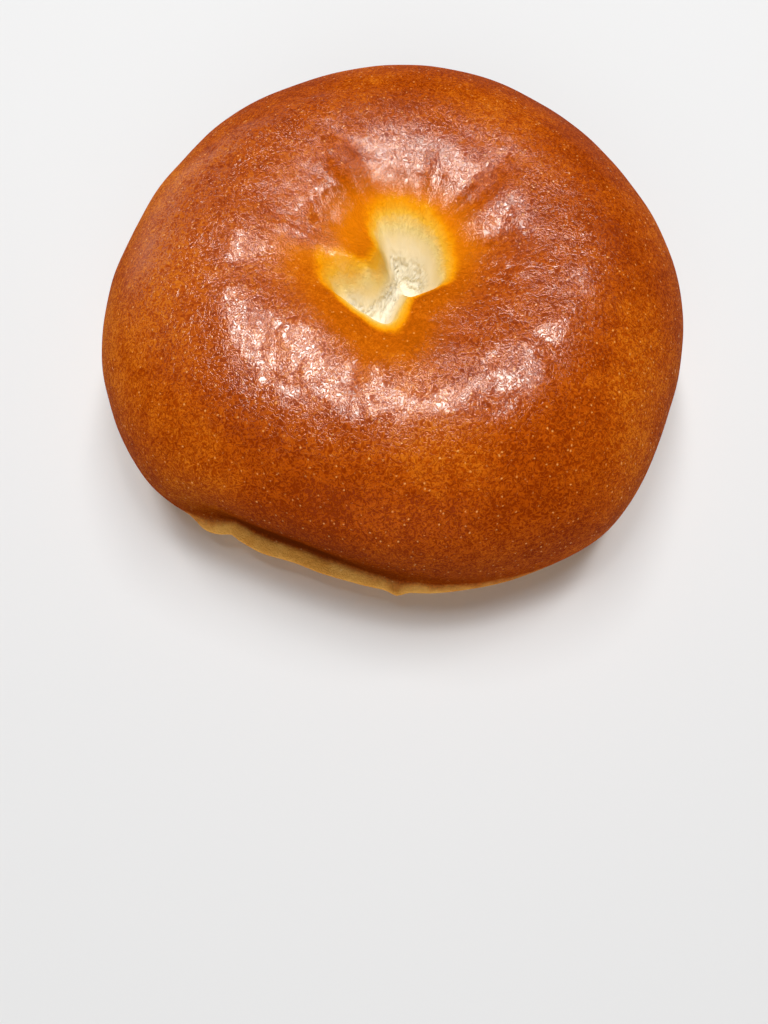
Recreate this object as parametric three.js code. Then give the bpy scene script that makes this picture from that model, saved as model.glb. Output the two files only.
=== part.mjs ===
// A round bean paste bun, baked as one piece of dough: a flat underside, a plump side, a ring-shaped
// crown and a deep navel pressed into its middle, where folds of dough meet. One closed solid.
// Millimetres, +Z up, front towards -Y. The origin is at the middle of the box's flat underside.
import * as THREE from "three";

// Overall size.
const RADIUS = 51.9;
const WIDEST_HEIGHT = 14;
const DOME_HEIGHT = 39.2;
const FOOT_RADIUS = 44.6;

// The dome's meridian, from its widest line up to the pole, is z^a + r^b = 1 in shares of its size.
const DOME_RADIAL_POWER = 2.8;
const DOME_HEIGHT_POWER = 2.2;

// Mesh density.
const SEGMENTS = 96;
const ROWS = { navel: 16, crown: 10, shoulder: 6, side: 9 };
const NAVEL_RADIUS = 15;
const CROWN_RADIUS = 40;

// The outline seen from above: waves as [waves round, height, azimuth of a crest], then local bulges
// as [azimuth, half angle, height]. Angles are in degrees.
const OUTLINE_WAVES = [
  [2, 0.2, 90],
  [3, 1.15, 80],
  [4, 0.6, 22],
  [5, 0.4, -4],
];
const OUTLINE_BULGES = [
  [-49, 14, 2.0],
  [-142, 10, 1.0],
  [92, 36, -1.2],
  [0, 14, 0.3],
  [-92, 12, 0.5],
];

// The broad dimple that leaves the crown as a ring.
const DIMPLE = { x: 0.6, y: 0.6, radius: 18.5, depth: 9.2 };

// The hollows of the navel. Each is walled in by slopes, written as [azimuth that the slope lies
// towards, distance at which it starts, distance at which the floor begins]. A pillow of dough with two
// slopes of its own stands in the second one.
const HOLLOWS = [
  {
    depth: 8.2,
    walls: [
      [201.4, 2.1, -1.2],
      [122, 10.8, 1.2],
      [76, 13.2, 0.7],
      [29, 9.8, 1.6],
      [-8, 9.6, 3.4],
      [-65.7, 9.5, 6.5],
    ],
    pillow: [],
  },
  {
    depth: 7.4,
    walls: [
      [232.5, 13.8, 10.8],
      [-16.1, 4.2, -0.3],
      [67, 5, -1],
      [180, 12.9, 6.4],
    ],
    pillow: [
      [157, 3.5, -1],
      [65, -4.5, -10],
    ],
  },
];
const HOLLOW_BLEND_POWER = 4;

// Pillows of dough round the navel as [x, y, radius, height].
const SWELLS = [
  [-6, 0.6, 5.2, 1.8],
  [5.4, -11, 5.4, 1.5],
  [-9.4, -14.4, 6, 1],
  [10.5, 6, 5, 0.3],
  [-24, 1.6, 4.2, 0.5],
  [-18, 9, 4, 0.45],
];

// Furrows that run out of the navel as [azimuth, half angle, depth, inner radius, outer radius].
const FURROWS = [
  [120, 10, 0.7, 8, 24],
  [38, 8, 0.6, 10, 24],
  [74, 4, 0.3, 12, 24],
  [90, 3, 0.2, 12, 24],
  [158, 8, 0.3, 12, 22],
  [2, 10, 0.4, 9, 22],
  [-104, 4.5, 0.4, 16, 32],
  [-62, 7, 0.15, 12, 20],
];

// How far before and after those radii a furrow deepens at its inner end and runs out at its outer end.
const FURROW_INNER_END = [-5, 2];
const FURROW_OUTER_END = [-8, 6];

// The relief of the crown fades out between these two radii.
const RELIEF_FADE = [26, 40];

// The lip at the front left: the side is tucked in above it, from one azimuth to another.
const TUCK = {
  depth: 3.4,
  starts: [-137, -126],
  ends: [-112, -50],
  rises: [6.2, 9.2],
  fades: [10.5, 27],
};

// Lumps along the lip as [azimuth, half angle, height], below this height.
const LIP_LUMPS = [
  [-130.5, 3.4, 1.2],
  [-126, 1.2, -0.5],
  [-119, 4.5, 0.5],
  [-106, 4.5, 0.3],
  [-90, 1.6, 0.8],
];
const LIP_HEIGHTS = [6, 11];

const toRadians = THREE.MathUtils.degToRad;

// Signed angle from one azimuth to another, in degrees, between -180 and 180.
function turnBetween(fromAzimuth, toAzimuth) {
  return THREE.MathUtils.euclideanModulo(toAzimuth - fromAzimuth + 180, 360) - 180;
}

// 0 up to low, 1 from high, and a smooth rise between them.
function rise(low, high, value) {
  return THREE.MathUtils.smoothstep(value, low, high);
}

function bump(distance, halfWidth) {
  return Math.exp(-((distance / halfWidth) ** 2));
}

function sum(list, term) {
  return list.reduce((total, item) => total + term(item), 0);
}

function outlineRadius(azimuth) {
  const waves = sum(
    OUTLINE_WAVES,
    ([count, height, crest]) => height * Math.cos(toRadians(count * (azimuth - crest))),
  );
  const bulges = sum(
    OUTLINE_BULGES,
    ([middle, halfAngle, height]) => height * bump(turnBetween(middle, azimuth), halfAngle),
  );
  return RADIUS + waves + bulges;
}

function tuckDepth(azimuth, z) {
  const turn = turnBetween(0, azimuth);
  const around = rise(...TUCK.starts, turn) * (1 - rise(...TUCK.ends, turn));
  const upwards = rise(...TUCK.rises, z) * (1 - rise(...TUCK.fades, z));
  return TUCK.depth * around * upwards;
}

function lumpHeight(azimuth, z) {
  const along = sum(
    LIP_LUMPS,
    ([middle, halfAngle, height]) => height * bump(turnBetween(middle, azimuth), halfAngle),
  );
  return along * (1 - rise(...LIP_HEIGHTS, z));
}

// For each slope, 0 at its foot and 1 at its top.
function slopesAt(x, y, slopes) {
  return slopes.map(([azimuth, start, floor]) => {
    const reach = x * Math.cos(toRadians(azimuth)) + y * Math.sin(toRadians(azimuth));
    return rise(floor, start, reach);
  });
}

function product(values) {
  return values.reduce((result, value) => result * value, 1);
}

function hollowDepth(x, y) {
  const blended = sum(HOLLOWS, ({ depth, walls, pillow }) => {
    const openShare = product(slopesAt(x, y, walls).map((risen) => 1 - risen));
    const pillowShare = pillow.length > 0 ? product(slopesAt(x, y, pillow)) : 0;
    return (depth * openShare * (1 - pillowShare)) ** HOLLOW_BLEND_POWER;
  });
  return blended ** (1 / HOLLOW_BLEND_POWER);
}

function furrowDepth(x, y) {
  const radius = Math.hypot(x - DIMPLE.x, y - DIMPLE.y);
  const azimuth = THREE.MathUtils.radToDeg(Math.atan2(y - DIMPLE.y, x - DIMPLE.x));
  return sum(FURROWS, ([middle, halfAngle, depth, inner, outer]) => {
    const begins = rise(...FURROW_INNER_END, radius - inner);
    const runsOut = rise(...FURROW_OUTER_END, radius - outer);
    return depth * bump(turnBetween(middle, azimuth), halfAngle) * begins * (1 - runsOut);
  });
}

// How far the crown lies above the plain dome.
function crownRelief(x, y) {
  const dimple = DIMPLE.depth * bump(Math.hypot(x - DIMPLE.x, y - DIMPLE.y), DIMPLE.radius);
  const swells = sum(
    SWELLS,
    ([cx, cy, radius, height]) => height * bump(Math.hypot(x - cx, y - cy), radius),
  );
  const relief = swells - dimple - furrowDepth(x, y) - hollowDepth(x, y);
  return relief * (1 - rise(...RELIEF_FADE, Math.hypot(x, y)));
}

// Points of the plain meridian, from the foot's middle out, up the side and over the dome to the pole.
function meridian() {
  const points = [new THREE.Vector2(0, 0)];
  for (let i = 0; i <= ROWS.side; i++) {
    const angle = ((i / ROWS.side) * Math.PI) / 2;
    const radius = FOOT_RADIUS + (RADIUS - FOOT_RADIUS) * Math.sin(angle);
    points.push(new THREE.Vector2(radius, WIDEST_HEIGHT * (1 - Math.cos(angle))));
  }
  const shoulderStart = Math.asin(CROWN_RADIUS / RADIUS);
  const radii = [];
  for (let i = 1; i < ROWS.shoulder; i++) {
    const angle = THREE.MathUtils.lerp(Math.PI / 2, shoulderStart, i / ROWS.shoulder);
    radii.push(RADIUS * Math.sin(angle));
  }
  for (let i = 0; i < ROWS.crown; i++) {
    radii.push(THREE.MathUtils.lerp(CROWN_RADIUS, NAVEL_RADIUS, i / ROWS.crown));
  }
  for (let i = 0; i <= ROWS.navel; i++) {
    radii.push(THREE.MathUtils.lerp(NAVEL_RADIUS, 0, i / ROWS.navel));
  }
  for (const radius of radii) {
    const fall = (1 - (radius / RADIUS) ** DOME_RADIAL_POWER) ** (1 / DOME_HEIGHT_POWER);
    points.push(new THREE.Vector2(radius, WIDEST_HEIGHT + (DOME_HEIGHT - WIDEST_HEIGHT) * fall));
  }
  return points;
}

// Moves a point of the plain, round bun to its place on the real one.
function sculpt(point) {
  const azimuth = THREE.MathUtils.radToDeg(Math.atan2(point.y, point.x));
  const share = Math.hypot(point.x, point.y) / RADIUS;
  const lip = share * (lumpHeight(azimuth, point.z) - tuckDepth(azimuth, point.z));
  const radius = share * outlineRadius(azimuth) + lip;
  const x = radius * Math.cos(toRadians(azimuth));
  const y = radius * Math.sin(toRadians(azimuth));
  const onDome = point.z > WIDEST_HEIGHT;
  return point.set(x, y, onDome ? point.z + crownRelief(x, y) : point.z);
}

function bunGeometry() {
  const geometry = new THREE.LatheGeometry(meridian(), SEGMENTS);
  geometry.rotateX(Math.PI / 2);
  const position = geometry.getAttribute("position");
  const point = new THREE.Vector3();
  for (let i = 0; i < position.count; i++) {
    sculpt(point.fromBufferAttribute(position, i));
    position.setXYZ(i, point.x, point.y, point.z);
  }
  geometry.computeBoundingBox();
  const middle = geometry.boundingBox.getCenter(new THREE.Vector3());
  geometry.translate(-middle.x, -middle.y, 0);
  geometry.computeVertexNormals();
  return geometry;
}

const crust = new THREE.MeshStandardMaterial({ color: 0xb35a14, roughness: 0.35, metalness: 0 });

const bun = new THREE.Mesh(bunGeometry(), crust);
bun.name = "bun";

const beanPasteBun = new THREE.Group();
beanPasteBun.add(bun);

export default beanPasteBun;
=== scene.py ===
"""A bean paste bun: one piece of glossy baked dough with a ring-shaped crown and a pale folded navel.

The CAD node gives the size. The visible bun follows the same shape rule on a fine mesh: a plain round bun
is turned in Python, and a Geometry Nodes tree presses the dimple, the navel, the furrows and the lip into
it, adds creases, dents and folds, and writes how pale each spot is baked and where painted shade darkens
the crease above the lip. Lengths are in millimetres until the mesh is finished.
"""

import math

import bpy
import numpy as np
from mathutils import Matrix, Vector


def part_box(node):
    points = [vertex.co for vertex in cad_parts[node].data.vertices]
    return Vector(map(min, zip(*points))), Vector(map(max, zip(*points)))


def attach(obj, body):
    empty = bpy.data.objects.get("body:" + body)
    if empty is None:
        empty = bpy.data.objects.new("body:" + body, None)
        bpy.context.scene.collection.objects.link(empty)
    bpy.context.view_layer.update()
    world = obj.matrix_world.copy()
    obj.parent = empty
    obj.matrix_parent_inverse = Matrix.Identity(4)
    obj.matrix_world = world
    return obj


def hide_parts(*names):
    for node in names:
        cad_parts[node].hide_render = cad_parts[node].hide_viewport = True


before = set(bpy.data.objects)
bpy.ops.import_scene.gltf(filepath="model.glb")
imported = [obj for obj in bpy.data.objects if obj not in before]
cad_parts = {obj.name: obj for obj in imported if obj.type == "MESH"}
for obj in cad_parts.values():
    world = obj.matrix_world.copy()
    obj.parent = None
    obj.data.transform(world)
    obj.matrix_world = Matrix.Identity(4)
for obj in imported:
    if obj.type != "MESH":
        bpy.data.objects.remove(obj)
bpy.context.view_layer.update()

# ---------------------------------------------------------------- sizes of the bun, in millimetres

RADIUS = 51.9
WIDEST_HEIGHT = 14
DOME_HEIGHT = 39.2
FOOT_RADIUS = 44.6
DOME_RADIAL_POWER = 2.8
DOME_HEIGHT_POWER = 2.2

# Rows of the fine mesh from the navel out, and the radii at which they change.
SEGMENTS = 400
ROWS = {"navel": 80, "crown": 72, "shoulder": 30, "side": 44, "foot": 12}
NAVEL_RADIUS = 15
CROWN_RADIUS = 40

# The outline seen from above: waves as (waves round, height, azimuth of a crest), then bulges as
# (azimuth, half angle, height). Angles are in degrees.
OUTLINE_WAVES = [(2, 0.2, 90), (3, 1.15, 80), (4, 0.6, 22), (5, 0.4, -4)]
OUTLINE_BULGES = [(-49, 14, 2.0), (-142, 10, 1.0), (92, 36, -1.2), (0, 14, 0.3), (-92, 12, 0.5)]

# The broad dimple that leaves the crown as a ring: its middle and radius.
DIMPLE_MIDDLE = (0.6, 0.6)
DIMPLE_RADIUS = 18.5

# The hollows of the navel: depth, the slopes that wall it in as (azimuth that the slope lies towards,
# distance at which it starts, distance at which the floor begins), then the two slopes of a pillow of
# dough that stands in it.
HOLLOWS = [
    (8.2, [(201.4, 2.1, -1.2), (122, 10.8, 1.2), (76, 13.2, 0.7), (29, 9.8, 1.6), (-8, 9.6, 3.4),
           (-65.7, 9.5, 6.5)], []),
    (7.4, [(232.5, 13.8, 10.8), (-16.1, 4.2, -0.3), (67, 5, -1), (180, 12.9, 6.4)],
     [(157, 3.5, -1), (65, -4.5, -10)]),
]
HOLLOW_BLEND_POWER = 4

# The crumpled floor lies along these stretches, each as the (x, y) of its ends.
CHANNEL = [((-1.9, 6), (0.6, 3.5)), ((0.6, 3.5), (-0.1, -0.5)), ((-0.1, -0.5), (-1.9, -9)),
           ((0.6, 3.5), (5.5, 0.5)), ((-1.9, -6), (-6.5, -6))]

# Pillows of dough round the navel as (x, y, radius, height).
SWELLS = [(-6, 0.6, 5.2, 1.8), (5.4, -11, 5.4, 1.5), (-9.4, -14.4, 6, 1), (10.5, 6, 5, 0.3),
          (-24, 1.6, 4.2, 0.5), (-18, 9, 4, 0.45)]

# Furrows that run out of the navel as (azimuth, half angle, depth, inner radius, outer radius).
FURROWS = [(120, 10, 0.7, 8, 24), (38, 8, 0.6, 10, 24), (74, 4, 0.3, 12, 24), (90, 3, 0.2, 12, 24),
           (158, 8, 0.3, 12, 22), (2, 10, 0.4, 9, 22), (-104, 4.5, 0.4, 16, 32), (-62, 7, 0.15, 12, 20)]

# How far before and after those radii a furrow deepens at its inner end and runs out at its outer end.
FURROW_INNER_END = (-5, 2)
FURROW_OUTER_END = (-8, 6)

# The relief of the crown fades out between these two radii.
RELIEF_FADE = (26, 40)

# The lip at the front left: where the side is tucked in above it, and the lumps along it as (azimuth,
# half angle, height).
TUCK_STARTS = (-137, -126)
TUCK_ENDS = (-112, -50)
TUCK_RISES = (6.2, 9.2)
TUCK_FADES = (10.5, 27)
LIP_LUMPS = [(-130.5, 3.4, 1.2), (-126, 1.2, -0.5), (-119, 4.5, 0.5), (-106, 4.5, 0.3), (-90, 1.6, 0.8)]
LIP_HEIGHTS = (6, 11)

# How far the navel's colours reach past its slopes: the glow round it, then the pale slopes themselves.
GLOW_WIDENING = {"spread": 13.0}
PALE_WIDENING = {"spread": 0.8, "share": 0.27, "pillow_spread": 5.7, "pillow_shift": 3.3}

# The floor begins between these shares of the greatest depth and ends between these distances from its
# middle line. Its crumple ends a little sooner.
FLOOR_DEPTHS = (0.4, 0.8)
FLOOR_WIDTHS = (1.5, 5.0)
CRUMPLE_WIDTHS = (1.2, 4.0)

# Heights between which the pale foot turns to crust, away from the lip and on it, and between which the
# underside turns to foot.
FOOT_EDGE = (2.0, 12.0)
LIP_EDGE = (7.6, 9.0)
UNDERSIDE_EDGE = (0.0, 0.6)

# Painted shade darkens the crease above the lip, beginning between these heights. Its dark line fades
# out first. The painted shade over the side above it reaches higher, and further round between these
# azimuths.
CREASE_BEGINS = (7.8, 9.2)
LINE_FADES = (9.2, 16.0)
SHADE_FADES = (11.0, 27.0)
SHADE_STARTS = (-152, -118)
SHADE_ENDS = (-108, -52)

# The radii between which the creases round the navel and the dents of the crown start and end.
CREASE_STARTS = (7, 14)
CREASE_ENDS = (22, 34)
DENT_STARTS = (8, 16)
DENT_ENDS = (32, 44)

# Sizes of the relief: creases as spokes round and millimetres along, the others as features a millimetre.
CREASE_SPOKES = 9.0
CREASE_LENGTH = 5.0
DENT_SCALE = 0.16
LUMP_SCALE = 0.055
CRUMPLE_SCALE = 0.5

# Pleats stand where the crumple passes its middle. Width and height are in the crumple's own measure.
PLEAT_WIDTH = 0.07
PLEAT_HEIGHT = 0.16

# Heights between which all this relief begins, so that the underside stays flat.
RELIEF_BEGINS = (0.0, 3.0)


# ---------------------------------------------------------------- nodes written as Python maths


class Number:
    """A node's output socket that takes part in Python maths; each operation adds its Math node."""

    def __init__(self, tree, socket):
        self.tree = tree
        self.socket = socket

    def __add__(self, other):
        return self.tree.maths("ADD", self, other)

    def __radd__(self, other):
        return self.tree.maths("ADD", other, self)

    def __sub__(self, other):
        return self.tree.maths("SUBTRACT", self, other)

    def __rsub__(self, other):
        return self.tree.maths("SUBTRACT", other, self)

    def __mul__(self, other):
        return self.tree.maths("MULTIPLY", self, other)

    def __rmul__(self, other):
        return self.tree.maths("MULTIPLY", other, self)

    def __truediv__(self, other):
        return self.tree.maths("DIVIDE", self, other)

    def __neg__(self):
        return self.tree.maths("MULTIPLY", self, -1.0)

    def __pow__(self, power):
        return self.tree.maths("POWER", self, power)


class Tree:
    """Adds nodes to a node tree."""

    def __init__(self, node_tree):
        self.node_tree = node_tree
        node_tree.nodes.clear()

    def add(self, kind, settings=None, sockets=None):
        """Adds a node: its settings first, then each socket's value or link."""
        node = self.node_tree.nodes.new(kind)
        for name, setting in (settings or {}).items():
            if name == "stops":
                self.set_stops(node.color_ramp, setting)
            else:
                setattr(node, name, setting)
        for name, value in (sockets or {}).items():
            self.fill(node.inputs[name], value)
        return node

    def fill(self, socket, value):
        if isinstance(value, Number):
            value = value.socket
        if isinstance(value, bpy.types.NodeSocket):
            self.node_tree.links.new(value, socket)
        else:
            socket.default_value = value

    def set_stops(self, ramp, stops):
        while len(ramp.elements) < len(stops):
            ramp.elements.new(1.0)
        for element, (place, colour) in zip(ramp.elements, stops):
            element.position = place
            element.color = colour

    def number(self, node, output=0):
        return Number(self, node.outputs[output])

    def maths(self, operation, *values):
        return self.number(self.add("ShaderNodeMath", {"operation": operation}, dict(enumerate(values))))

    def vector_maths(self, operation, sockets):
        return self.add("ShaderNodeVectorMath", {"operation": operation}, sockets).outputs[0]

    def rise(self, low, high, value):
        """0 up to low, 1 from high, and a smooth rise between them."""
        sockets = {"Value": value, "From Min": low, "From Max": high}
        return self.number(self.add("ShaderNodeMapRange", {"interpolation_type": "SMOOTHSTEP"}, sockets))

    def bump(self, distance, half_width):
        share = distance / half_width
        return self.maths("EXPONENT", -(share * share))

    def length(self, x, y):
        return (x * x + y * y) ** 0.5

    def turn_from(self, azimuth, angle):
        """Signed angle from an azimuth, in degrees, between -180 and 180."""
        return self.maths("WRAP", angle - azimuth, 180.0, -180.0)

    def noise(self, vector, scale, detail=2.0, roughness=0.5, distortion=0.0):
        """Noise between 0 and 1."""
        sockets = {"Vector": vector, "Scale": scale, "Detail": detail, "Roughness": roughness,
                   "Distortion": distortion}
        return self.number(self.add("ShaderNodeTexNoise", {}, sockets), "Fac")


def total(terms):
    terms = list(terms)
    result = terms[0]
    for term in terms[1:]:
        result = result + term
    return result


def product(terms):
    terms = list(terms)
    result = terms[0]
    for term in terms[1:]:
        result = result * term
    return result


# ---------------------------------------------------------------- the plain round bun


def meridian():
    """Rows of the plain bun as (radius, height), from the pole over the dome to the foot's middle."""
    shoulder_start = math.asin(CROWN_RADIUS / RADIUS)
    radii = [NAVEL_RADIUS * i / ROWS["navel"] for i in range(ROWS["navel"])]
    radii += [NAVEL_RADIUS + (CROWN_RADIUS - NAVEL_RADIUS) * i / ROWS["crown"] for i in range(ROWS["crown"])]
    for i in range(ROWS["shoulder"]):
        angle = shoulder_start + (math.pi / 2 - shoulder_start) * i / ROWS["shoulder"]
        radii.append(RADIUS * math.sin(angle))
    rows = []
    for radius in radii:
        fall = (1 - (radius / RADIUS) ** DOME_RADIAL_POWER) ** (1 / DOME_HEIGHT_POWER)
        rows.append((radius, WIDEST_HEIGHT + (DOME_HEIGHT - WIDEST_HEIGHT) * fall))
    for i in range(ROWS["side"] + 1):
        angle = math.pi / 2 * i / ROWS["side"]
        radius = FOOT_RADIUS + (RADIUS - FOOT_RADIUS) * math.cos(angle)
        rows.append((radius, WIDEST_HEIGHT * (1 - math.sin(angle))))
    rows += [(FOOT_RADIUS * (1 - i / ROWS["foot"]), 0.0) for i in range(1, ROWS["foot"] + 1)]
    return rows


def plain_bun_mesh():
    """Turns the meridian into a closed mesh of quads with one vertex at each pole."""
    rows = meridian()
    angles = np.arange(SEGMENTS) * 2 * math.pi / SEGMENTS
    points = [(0.0, 0.0, rows[0][1])]
    for radius, height in rows[1:-1]:
        points += [(radius * math.cos(a), radius * math.sin(a), height) for a in angles]
    points.append((0.0, 0.0, 0.0))
    last = len(points) - 1
    rings = len(rows) - 2
    faces = []
    for j in range(SEGMENTS):
        after = (j + 1) % SEGMENTS
        faces.append((0, 1 + j, 1 + after))
        for i in range(rings - 1):
            upper = 1 + i * SEGMENTS
            lower = upper + SEGMENTS
            faces.append((upper + j, lower + j, lower + after, upper + after))
        lowest = 1 + (rings - 1) * SEGMENTS
        faces.append((lowest + j, last, lowest + after))
    mesh = bpy.data.meshes.new("plain_bun")
    mesh.from_pydata(points, [], faces)
    return mesh


# ---------------------------------------------------------------- the dough tree: shape, relief, baking and painted shade

DOUGH_INPUTS = [
    ("Radius", "NodeSocketFloat", RADIUS),
    ("Dimple depth", "NodeSocketFloat", 9.2),
    ("Navel depth", "NodeSocketFloat", 1.0),
    ("Furrow depth", "NodeSocketFloat", 1.0),
    ("Tuck depth", "NodeSocketFloat", 3.4),
    ("Lump height", "NodeSocketFloat", 1.2),
    ("Dent height", "NodeSocketFloat", 0.8),
    ("Crease height", "NodeSocketFloat", 0.2),
    ("Crumple height", "NodeSocketFloat", 1.3),
    ("Seed", "NodeSocketFloat", 7.0),
    ("Crust", "NodeSocketMaterial", None),
]


def outline_radius(t, radius, azimuth):
    waves = [height * t.maths("COSINE", count * math.radians(1) * (azimuth - crest))
             for count, height, crest in OUTLINE_WAVES]
    bulges = [height * t.bump(t.turn_from(middle, azimuth), half) for middle, half, height in OUTLINE_BULGES]
    return radius + total(waves + bulges)


def between(t, starts, ends, value):
    """Rises from 0 to 1 over the first range, and falls back to 0 over the second."""
    return t.rise(*starts, value) * (1 - t.rise(*ends, value))


def lumps_along(t, azimuth, height):
    lumps = total(size * t.bump(t.turn_from(middle, azimuth), half) for middle, half, size in LIP_LUMPS)
    return lumps * (1 - t.rise(*LIP_HEIGHTS, height))


def slopes(t, x, y, walls, spread=0.0, share=0.0, shift=0.0):
    """For each wall, 0 at its foot and 1 at its top, which is moved out by the spread and by the share of
    the wall's own width. The shift moves the whole slope towards its foot."""
    risen = []
    for azimuth, start, floor in walls:
        reach = x * math.cos(math.radians(azimuth)) + y * math.sin(math.radians(azimuth))
        risen.append(t.rise(floor, start + spread + share * (start - floor), reach + shift))
    return risen


def hollows(t, x, y, spread=0.0, share=0.0, pillow_spread=0.0, pillow_shift=0.0):
    """How deep each hollow is at a spot, with its walls and its pillow's slopes widened."""
    depths = []
    for depth, walls, pillow in HOLLOWS:
        open_share = product(1 - risen for risen in slopes(t, x, y, walls, spread, share))
        if pillow:
            open_share = open_share * (1 - product(slopes(t, x, y, pillow, pillow_spread, 0.0, pillow_shift)))
        depths.append(depth * open_share)
    return depths


def hollow_depth(t, x, y):
    return total(depth ** HOLLOW_BLEND_POWER for depth in hollows(t, x, y)) ** (1 / HOLLOW_BLEND_POWER)


def hollow_share(t, x, y, **widening):
    """The depth of the widened hollows as a share of the deepest."""
    first, second = hollows(t, x, y, **widening)
    return t.maths("MAXIMUM", first, second) / HOLLOWS[0][0]


def furrows(t, radius, azimuth):
    terms = []
    for middle, half, depth, inner, outer in FURROWS:
        begins = t.rise(*FURROW_INNER_END, radius - inner)
        runs_out = t.rise(*FURROW_OUTER_END, radius - outer)
        terms.append(depth * t.bump(t.turn_from(middle, azimuth), half) * begins * (1 - runs_out))
    return total(terms)


def ridges(t, noise):
    """Narrow ridges where a noise passes its middle."""
    return 1 - 2 * t.maths("ABSOLUTE", noise - 0.5)


def path_distance(t, x, y, paths):
    """Distance to the nearest of some straight stretches, each as (x, y) of one end and of the other."""
    nearest = None
    for (ax, ay), (bx, by) in paths:
        length = math.hypot(bx - ax, by - ay)
        ux, uy = (bx - ax) / length, (by - ay) / length
        along = (x - ax) * ux + (y - ay) * uy
        beyond = along - t.maths("MINIMUM", t.maths("MAXIMUM", along, 0.0), length)
        distance = t.length(beyond, (y - ay) * ux - (x - ax) * uy)
        nearest = distance if nearest is None else t.maths("MINIMUM", nearest, distance)
    return nearest


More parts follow.
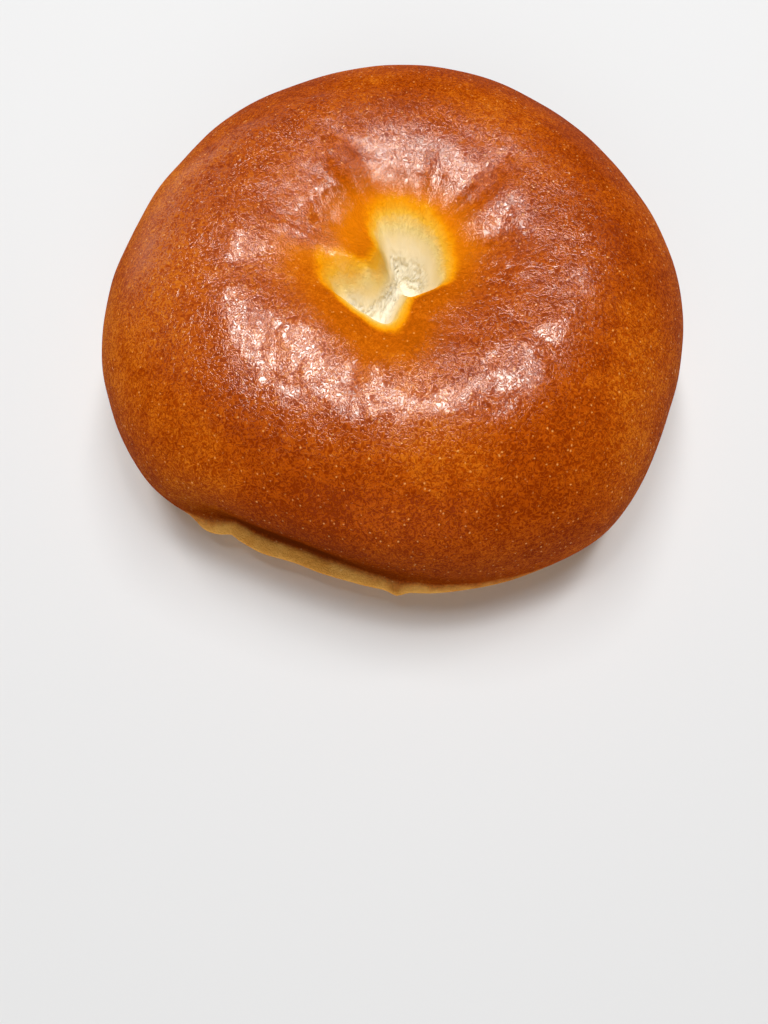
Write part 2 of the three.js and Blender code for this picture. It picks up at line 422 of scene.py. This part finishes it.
def dough_tree():
    """The Geometry Nodes tree that shapes the plain bun."""
    group = bpy.data.node_groups.new("dough", "GeometryNodeTree")
    group.interface.new_socket("Geometry", in_out="INPUT", socket_type="NodeSocketGeometry")
    for name, kind, value in DOUGH_INPUTS:
        socket = group.interface.new_socket(name, in_out="INPUT", socket_type=kind)
        if value is not None:
            socket.default_value = value
    group.interface.new_socket("Geometry", in_out="OUTPUT", socket_type="NodeSocketGeometry")
    t = Tree(group)
    inputs = t.add("NodeGroupInput")
    place = t.add("ShaderNodeSeparateXYZ", {}, {0: t.add("GeometryNodeInputPosition").outputs[0]})
    x0, y0, z0 = (t.number(place, i) for i in range(3))
    azimuth = t.maths("ARCTAN2", y0, x0) * math.degrees(1)
    share = t.length(x0, y0) / RADIUS

    # The outline, the lip and the tuck above it.
    around = between(t, TUCK_STARTS, TUCK_ENDS, azimuth)
    tuck = t.number(inputs, "Tuck depth") * around * between(t, TUCK_RISES, TUCK_FADES, z0)
    radius = share * (outline_radius(t, t.number(inputs, "Radius"), azimuth)
                      + lumps_along(t, azimuth, z0) - tuck)
    x = radius * t.maths("COSINE", azimuth * math.radians(1))
    y = radius * t.maths("SINE", azimuth * math.radians(1))

    # The dimple, the navel and what runs out of it.
    dx = x - DIMPLE_MIDDLE[0]
    dy = y - DIMPLE_MIDDLE[1]
    navel_distance = t.length(dx, dy)
    navel_azimuth = t.maths("ARCTAN2", dy, dx) * math.degrees(1)
    dimple = t.number(inputs, "Dimple depth") * t.bump(navel_distance, DIMPLE_RADIUS)
    pit = t.number(inputs, "Navel depth") * hollow_depth(t, x, y)
    swells = total(height * t.bump(t.length(x - cx, y - cy), size) for cx, cy, size, height in SWELLS)
    furrow = t.number(inputs, "Furrow depth") * furrows(t, navel_distance, navel_azimuth)
    relief = (swells - dimple - furrow - pit) * (1 - t.rise(*RELIEF_FADE, t.length(x, y)))
    on_dome = t.maths("GREATER_THAN", z0, WIDEST_HEIGHT)
    z = z0 + relief * on_dome
    shaped = t.add("ShaderNodeCombineXYZ", {}, {0: x, 1: y, 2: z})

    set_shape = t.add("GeometryNodeSetPosition", {}, {
        "Geometry": inputs.outputs["Geometry"], "Position": shaped.outputs[0]})

    # What the finish goes by: how pale the navel's floor and slopes stay, with a glow round them, and the
    # lip and the foot, then how much painted shade darkens the crease above the lip and the side over it, and
    # where the furrows and underside are.
    channel = path_distance(t, x, y, CHANNEL)
    deep = t.rise(*FLOOR_DEPTHS, pit / HOLLOWS[0][0])
    side_low, side_high = (foot + (lip - foot) * around for foot, lip in zip(FOOT_EDGE, LIP_EDGE))
    line = around * (1 - t.rise(*LINE_FADES, z0))
    shade = between(t, SHADE_STARTS, SHADE_ENDS, azimuth) * (1 - t.rise(*SHADE_FADES, z0))
    stored = set_shape.outputs[0]
    values = {
        "glow": hollow_share(t, x, y, **GLOW_WIDENING),
        "pale": hollow_share(t, x, y, **PALE_WIDENING),
        "furrow": furrow,
        "floor": (1 - t.rise(*FLOOR_WIDTHS, channel)) * deep,
        "side_pale": 1 - t.rise(side_low, side_high, z0),
        "crease": t.rise(*CREASE_BEGINS, z0) * t.maths("MAXIMUM", line, shade),
        "under": 1 - t.rise(*UNDERSIDE_EDGE, z0),
        "navel_distance": navel_distance,
    }
    for name, value in values.items():
        stored = t.add("GeometryNodeStoreNamedAttribute", {"data_type": "FLOAT", "domain": "POINT"}, {
            "Geometry": stored, "Name": name, "Value": value}).outputs[0]

    # The crust's relief, along the surface's own direction, in its finished place.
    seed = t.number(inputs, "Seed")
    polar = t.add("ShaderNodeCombineXYZ", {}, {
        0: t.maths("COSINE", navel_azimuth * math.radians(1)) * CREASE_SPOKES,
        1: t.maths("SINE", navel_azimuth * math.radians(1)) * CREASE_SPOKES,
        2: navel_distance / CREASE_LENGTH + seed})
    creases = t.noise(polar.outputs[0], 1.0, distortion=0.8) - 0.5
    crease_zone = between(t, CREASE_STARTS, CREASE_ENDS, navel_distance)
    dents = t.noise(shaped.outputs[0], DENT_SCALE) - 0.5
    dent_zone = between(t, DENT_STARTS, DENT_ENDS, navel_distance)
    lumps = t.noise(shaped.outputs[0], LUMP_SCALE, detail=1.0) - 0.5
    crumple = t.noise(shaped.outputs[0], CRUMPLE_SCALE, detail=1.0, distortion=1.6) - 0.5
    pleats = 1 - t.rise(0.0, PLEAT_WIDTH, t.maths("ABSOLUTE", crumple))
    folds = crumple + pleats * PLEAT_HEIGHT
    crumple_zone = (1 - t.rise(*CRUMPLE_WIDTHS, channel)) * deep
    lift = (t.number(inputs, "Crease height") * creases * crease_zone * on_dome
            + t.number(inputs, "Dent height") * dents * dent_zone * on_dome
            + t.number(inputs, "Crumple height") * folds * crumple_zone
            + t.number(inputs, "Lump height") * lumps) * t.rise(*RELIEF_BEGINS, z0)
    offset = t.vector_maths("SCALE", {0: t.add("GeometryNodeInputNormal").outputs[0], "Scale": lift})
    roughened = t.add("GeometryNodeSetPosition", {}, {"Geometry": stored, "Offset": offset})

    realized = t.add("GeometryNodeRealizeInstances", {}, {"Geometry": roughened.outputs[0]})
    smooth = t.add("GeometryNodeSetShadeSmooth", {}, {"Geometry": realized.outputs[0]})
    finished = t.add("GeometryNodeSetMaterial", {}, {
        "Geometry": smooth.outputs[0], "Material": inputs.outputs["Crust"]})
    t.add("NodeGroupOutput", {}, {"Geometry": finished.outputs[0]})
    return group


def bake_shape(plain, tree, settings):
    """Runs the tree on the plain mesh and returns the result as a plain mesh."""
    carrier = bpy.data.objects.new("carrier", plain)
    bpy.context.scene.collection.objects.link(carrier)
    modifier = carrier.modifiers.new("dough", "NODES")
    modifier.node_group = tree
    for item in tree.interface.items_tree:
        if item.in_out == "INPUT" and item.name in settings:
            modifier[item.identifier] = settings[item.name]
    evaluated = carrier.evaluated_get(bpy.context.evaluated_depsgraph_get())
    mesh = bpy.data.meshes.new_from_object(evaluated)
    carrier.modifiers.remove(modifier)
    bpy.data.objects.remove(carrier)
    return mesh


def fit_into(mesh, box):
    """Brings a mesh in millimetres to metres, filling the box that the CAD solid fills."""
    low, high = Vector(box[0]), Vector(box[1])
    points = np.empty(len(mesh.vertices) * 3, np.float32)
    mesh.vertices.foreach_get("co", points)
    points = points.reshape(-1, 3)
    mesh_low, mesh_high = Vector(points.min(0)), Vector(points.max(0))
    scale = [(high[i] - low[i]) / (mesh_high[i] - mesh_low[i]) for i in range(3)]
    mesh.transform(Matrix.Translation(low) @ Matrix.Diagonal((*scale, 1)) @ Matrix.Translation(-mesh_low))


# ---------------------------------------------------------------- the crust's finish

# Display colours, 0 to 255. A list gives the places in a ramp and the colours there.
CRUST_COLOURS = [(0.34, (140, 49, 1)), (0.46, (169, 68, 4)), (0.56, (188, 82, 7)), (0.72, (219, 120, 22))]
NAVEL_COLOURS = [(0.02, (240, 134, 6)), (0.1, (250, 158, 10)), (0.24, (252, 190, 58)), (0.4, (254, 226, 148)),
                 (0.64, (254, 238, 200))]
TAN_COLOURS = [(0.35, (230, 156, 66)), (0.65, (246, 186, 96))]
TRAY_COLOURS = [(0.35, (120, 62, 20)), (0.65, (176, 104, 44))]
# The blisters' colour, paler than the crust, is a painted glint.
BLISTER_GLINT_COLOUR = (250, 180, 98)
GLOW_COLOUR = (238, 130, 8)
FLOOR_COLOUR = (240, 232, 210)
# Painted shade for the crease above the lip.
CREASE_SHADE_COLOUR = (84, 32, 4)

# Sizes of the patterns, as features a millimetre, or as spokes round the navel for the skin's strands.
WORM_SCALE = 1.35
STRAND_SPOKES = 16
BLISTER_SCALE = 0.9
FRECKLE_SCALE = 2.0
MOTTLE_SCALE = 0.3
PATCH_SCALE = 0.045

# The skin: how sharp its ridges are, how wide and high its blisters are, which freckles carry one, where
# strands turn to worms, and how it smooths out on the pale slopes.
RIDGE_SHARPNESS = (0.72, 1.0)
BLISTER_SIZE = (0.05, 0.22)
BLISTER_HEIGHT = 0.5
BLISTERED_FRECKLES = (0.42, 0.6)
STRANDS_END = (12, 26)
SMOOTH_SLOPES = (0.35, 0.6)
SMOOTHING = 0.85

# How light the crust is: the shares of its patterns, with the skin's share a painted sheen on its ridges
# and painted shade in its grooves, then how much painted shade darkens the back and the front left and
# how much painted sheen lightens the left, each with the distances from the middle between which that comes.
PATCH_SHARE = 0.46
MOTTLE_SHARE = 0.24
FRECKLE_SHARE = 0.3
SKIN_SHADING_SHARE = 0.2
SKIN_MIDDLE = 0.45
BACK_PAINTED_SHADE = 0.06
BACK_RANGE = (10, 40)
FRONT_PAINTED_SHADE = 0.09
FRONT_RANGE = (24, 44)
FRONT_DIRECTION = (-0.3, -0.95)
LEFT_PAINTED_SHEEN = 0.06
LEFT_RANGE = (22, 44)

# The glow round the navel: where it comes in, how strong it is, what share of that it has in front of the
# navel, and where that share rises to the whole.
GLOW_RANGE = (0.0, 0.5)
GLOW_SHARE = 0.85
GLOW_IN_FRONT = 0.35
GLOW_TURNS = (-6, 2)

# Strengths of the colours laid over the crust: the blisters' painted glint and the crease's painted shade.
BLISTER_GLINT_STRENGTH = 0.75
CREASE_SHADE_STRENGTH = 0.9

# Where the pale parts end, and how unevenly.
NAVEL_EDGE = (0.0, 0.1)
NAVEL_MOTTLING = 0.2
NAVEL_FRECKLING = 0.06
SIDE_EDGE = (0.05, 0.95)
SIDE_EDGE_BEGINS = (0.0, 0.15)
SIDE_MOTTLING = 0.6

# The glaze thins out on an oval round its own middle, in the furrows and towards the navel.
GLAZE_MIDDLE = (-4, -3)
GLAZE_SQUEEZE = 0.86
GLAZE_ENDS = (27, 37)
GLAZE_LOSS = 0.95
FURROW_DEPTHS = (0.08, 0.42)
FURROW_LOSS = 0.85
NAVEL_GLAZE_ENDS = (0.06, 0.5)
BLISTER_GLAZE = 0.4

# How the bare dough and the glaze shine.
DOUGH_ROUGHNESS = 0.8
GLAZE_ROUGHNESS = 0.1
GLAZE_SPECULAR = 0.95
GLAZE_TINT = (1, 0.96, 0.87, 1)
GLAZE_IOR = 1.45

# Heights of the skin's relief in metres, bare and under the glaze.
DOUGH_RELIEF = 0.00007
GLAZE_RELIEF = 0.00003


def colour(red, green, blue):
    """A display colour, 0 to 255, as the linear colour that a shader takes."""
    shares = (value / 255 for value in (red, green, blue))
    linear = [share / 12.92 if share <= 0.04045 else ((share + 0.055) / 1.055) ** 2.4 for share in shares]
    return (*linear, 1.0)


def mix(t, share, first, second):
    node = t.add("ShaderNodeMix", {"data_type": "RGBA"}, {0: share, 6: first, 7: second})
    return node.outputs[2]


def ramp(t, colours, value):
    stops = [(place, colour(*shade)) for place, shade in colours]
    return t.add("ShaderNodeValToRGB", {"stops": stops}, {0: value}).outputs[0]


def attribute(t, name):
    return t.number(t.add("ShaderNodeAttribute", {"attribute_name": name}), "Fac")


def tipped_normal(t, height, metres):
    """The surface's direction as tipped by a relief, which is so many metres high where its height is 1."""
    sockets = {"Strength": 1.0, "Distance": metres, "Height": height}
    return t.add("ShaderNodeBump", {}, sockets).outputs[0]


def crust_material():
    material = bpy.data.materials.new("egg_washed_crust")
    material.use_nodes = True
    t = Tree(material.node_tree)
    place = t.add("ShaderNodeTexCoord").outputs["Object"]
    millimetres = t.vector_maths("SCALE", {0: place, "Scale": 1000})
    glow = attribute(t, "glow")
    pale = attribute(t, "pale")
    floor = attribute(t, "floor")
    side_pale = attribute(t, "side_pale")
    under = attribute(t, "under")
    crease = attribute(t, "crease")
    navel_distance = attribute(t, "navel_distance")
    furrow = attribute(t, "furrow")
    spot = t.add("ShaderNodeSeparateXYZ", {}, {0: millimetres})
    x, y = t.number(spot, 0), t.number(spot, 1)

    # The skin: worm-like wrinkles, drawn out towards the navel near it, and pin-prick blisters.
    worms = ridges(t, t.noise(millimetres, WORM_SCALE, detail=1.5, distortion=1.2))
    outward = t.vector_maths("NORMALIZE", {0: t.vector_maths("MULTIPLY", {0: millimetres, 1: (1, 1, 0)})})
    around = t.vector_maths("SCALE", {0: outward, "Scale": STRAND_SPOKES})
    along = t.add("ShaderNodeCombineXYZ", {}, {2: navel_distance}).outputs[0]
    polar = t.vector_maths("ADD", {0: around, 1: along})
    strands = ridges(t, t.noise(polar, 1.0, distortion=1.4))
    near = 1 - t.rise(*STRANDS_END, navel_distance)
    freckles = t.noise(millimetres, FRECKLE_SCALE, roughness=0.6)
    blister = t.add("ShaderNodeTexVoronoi", {}, {"Vector": millimetres, "Scale": BLISTER_SCALE})
    blisters = 1 - t.rise(*BLISTER_SIZE, t.number(blister, "Distance"))
    blisters = blisters * t.rise(*BLISTERED_FRECKLES, freckles)
    skin = t.rise(*RIDGE_SHARPNESS, strands * near + worms * (1 - near)) + blisters * BLISTER_HEIGHT
    skin = skin * (1 - SMOOTHING * t.rise(*SMOOTH_SLOPES, pale))

    # How light the crust is: broad patches, mottles and freckles, with a painted sheen on the skin's ridges
    # and painted shade in its grooves. Painted shade darkens the back and the front left, and a painted sheen
    # lightens the left side.
    patches = t.noise(millimetres, PATCH_SCALE)
    mottles = t.noise(millimetres, MOTTLE_SCALE, detail=3.0, roughness=0.6)
    to_front = x * FRONT_DIRECTION[0] + y * FRONT_DIRECTION[1]
    lightness = patches * PATCH_SHARE + mottles * MOTTLE_SHARE + freckles * FRECKLE_SHARE
    lightness = lightness + (skin - SKIN_MIDDLE) * SKIN_SHADING_SHARE - BACK_PAINTED_SHADE * t.rise(*BACK_RANGE, y)
    lightness = lightness - FRONT_PAINTED_SHADE * t.rise(*FRONT_RANGE, to_front)
    lightness = lightness + LEFT_PAINTED_SHEEN * t.rise(*LEFT_RANGE, -x)
    # Blisters are real bumps; their paler colour is a painted glint.
    crust = mix(t, blisters * BLISTER_GLINT_STRENGTH, ramp(t, CRUST_COLOURS, lightness), colour(*BLISTER_GLINT_COLOUR))

    # The navel: a glow of orange round it, then golden, yellow and cream slopes and an off-white floor.
    glow_share = GLOW_SHARE * (GLOW_IN_FRONT + (1 - GLOW_IN_FRONT) * t.rise(*GLOW_TURNS, y))
    shade = mix(t, t.rise(*GLOW_RANGE, glow) * glow_share, crust, colour(*GLOW_COLOUR))
    unevenness = (mottles - 0.5) * NAVEL_MOTTLING + (freckles - 0.5) * NAVEL_FRECKLING
    edge = pale + unevenness * t.rise(*NAVEL_EDGE, pale)
    shade = mix(t, t.rise(*NAVEL_EDGE, edge), shade, ramp(t, NAVEL_COLOURS, edge))
    shade = mix(t, floor, shade, colour(*FLOOR_COLOUR))

    # The foot and the lip stay tan, with painted shade darkening the crease above the lip and the side over
    # it, and the underside is evenly baked.
    unevenness = (mottles - 0.5) * SIDE_MOTTLING
    side_pale = t.rise(*SIDE_EDGE, side_pale + unevenness * t.rise(*SIDE_EDGE_BEGINS, side_pale))
    shade = mix(t, side_pale, shade, ramp(t, TAN_COLOURS, mottles * 0.5 + patches * 0.5))
    shade = mix(t, crease * CREASE_SHADE_STRENGTH, shade, colour(*CREASE_SHADE_COLOUR))
    shade = mix(t, under, shade, ramp(t, TRAY_COLOURS, lightness))

    # The glaze lies on the crown, not in the navel, low on the side, on the lip or underneath. Blisters
    # shine a little wherever they are.
    from_middle = t.length((x - GLAZE_MIDDLE[0]) * GLAZE_SQUEEZE, y - GLAZE_MIDDLE[1])
    glaze = (1 - GLAZE_LOSS * t.rise(*GLAZE_ENDS, from_middle)) * (1 - side_pale)
    glaze = glaze * (1 - FURROW_LOSS * t.rise(*FURROW_DEPTHS, furrow))
    glaze = glaze * (1 - under) * (1 - crease) * (1 - t.rise(*NAVEL_GLAZE_ENDS, glow))
    glaze = glaze + blisters * BLISTER_GLAZE

    dough = t.add("ShaderNodeBsdfPrincipled", {}, {
        "Base Color": shade, "Roughness": DOUGH_ROUGHNESS, "Specular IOR Level": 0.0,
        "Normal": tipped_normal(t, skin, DOUGH_RELIEF)})
    glazed = t.add("ShaderNodeBsdfPrincipled", {}, {
        "Base Color": shade, "Roughness": GLAZE_ROUGHNESS, "Specular IOR Level": GLAZE_SPECULAR,
        "Specular Tint": GLAZE_TINT, "IOR": GLAZE_IOR, "Normal": tipped_normal(t, skin, GLAZE_RELIEF)})
    finish = t.add("ShaderNodeMixShader", {}, {0: glaze, 1: dough.outputs[0], 2: glazed.outputs[0]})
    t.add("ShaderNodeOutputMaterial", {}, {"Surface": finish.outputs[0]})
    return material


# ---------------------------------------------------------------- the stage

# Lengths are in metres, angles in degrees and powers in watts from here on.
FLOOR_HALF = 2.0
FLOOR_SHADE = 0.78
FLOOR_ROUGHNESS = 0.8
ROOM_LIGHT = 0.07

# Softboxes as (name, place, size, power, turn, tilt). One that isn't tilted faces straight down.
PANELS = [
    ("left_panel", (-0.2, 0.27, 0.85), (0.11, 0.56), 4.0, 8, 0),
    ("right_panel", (0.24, 0.26, 0.85), (0.11, 0.54), 3.8, -22, 0),
    ("middle_panel", (0.02, 0.17, 0.85), (0.26, 0.1), 1.2, 0, 0),
    ("front_fill", (-0.08, -0.88, 0.36), (0.9, 0.7), 3.1, -5, 68),
]

CAMERA_PLACE = (-0.0019, -0.0831, 0.1357)
CAMERA_TILT = 20
CAMERA_LENS = 27


def plain_material(name, shade, roughness):
    material = bpy.data.materials.new(name)
    material.use_nodes = True
    t = Tree(material.node_tree)
    shader = t.add("ShaderNodeBsdfPrincipled", {}, {
        "Base Color": (shade, shade, shade, 1), "Roughness": roughness, "Specular IOR Level": 0.2})
    t.add("ShaderNodeOutputMaterial", {}, {"Surface": shader.outputs[0]})
    return material


def add_floor():
    corners = [(FLOOR_HALF * i, FLOOR_HALF * j, 0) for i, j in ((-1, -1), (1, -1), (1, 1), (-1, 1))]
    mesh = bpy.data.meshes.new("floor")
    mesh.from_pydata(corners, [], [(0, 1, 2, 3)])
    mesh.materials.append(plain_material("pale_floor", FLOOR_SHADE, FLOOR_ROUGHNESS))
    floor = bpy.data.objects.new("floor", mesh)
    bpy.context.scene.collection.objects.link(floor)


def add_panel(name, place, size, power, turn, tilt):
    light = bpy.data.lights.new(name, "AREA")
    light.shape = "RECTANGLE"
    light.size, light.size_y = size
    light.energy = power
    lamp = bpy.data.objects.new(name, light)
    bpy.context.scene.collection.objects.link(lamp)
    lamp.location = place
    lamp.rotation_euler = (math.radians(tilt), 0, math.radians(turn))


def add_studio():
    world = bpy.data.worlds.new("studio")
    bpy.context.scene.world = world
    world.use_nodes = True
    background = world.node_tree.nodes["Background"]
    background.inputs["Color"].default_value = (1, 1, 1, 1)
    background.inputs["Strength"].default_value = ROOM_LIGHT
    for panel in PANELS:
        add_panel(*panel)
    bpy.context.scene.view_settings.view_transform = "Standard"


def add_camera():
    camera = bpy.data.cameras.new("camera")
    camera.lens = CAMERA_LENS
    camera.clip_start = 0.001
    stand = bpy.data.objects.new("camera", camera)
    bpy.context.scene.collection.objects.link(stand)
    stand.location = CAMERA_PLACE
    stand.rotation_euler = (math.radians(CAMERA_TILT), 0, 0)
    bpy.context.scene.camera = stand


# ---------------------------------------------------------------- making the bun

add_camera()
add_studio()
add_floor()

crust = crust_material()
bun_mesh = bake_shape(plain_bun_mesh(), dough_tree(), {"Crust": crust})
fit_into(bun_mesh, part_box("bun"))
bun_mesh.name = "baked_bun"
bun = bpy.data.objects.new("baked_bun", bun_mesh)
bpy.context.scene.collection.objects.link(bun)
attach(bun, "root")
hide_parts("bun")
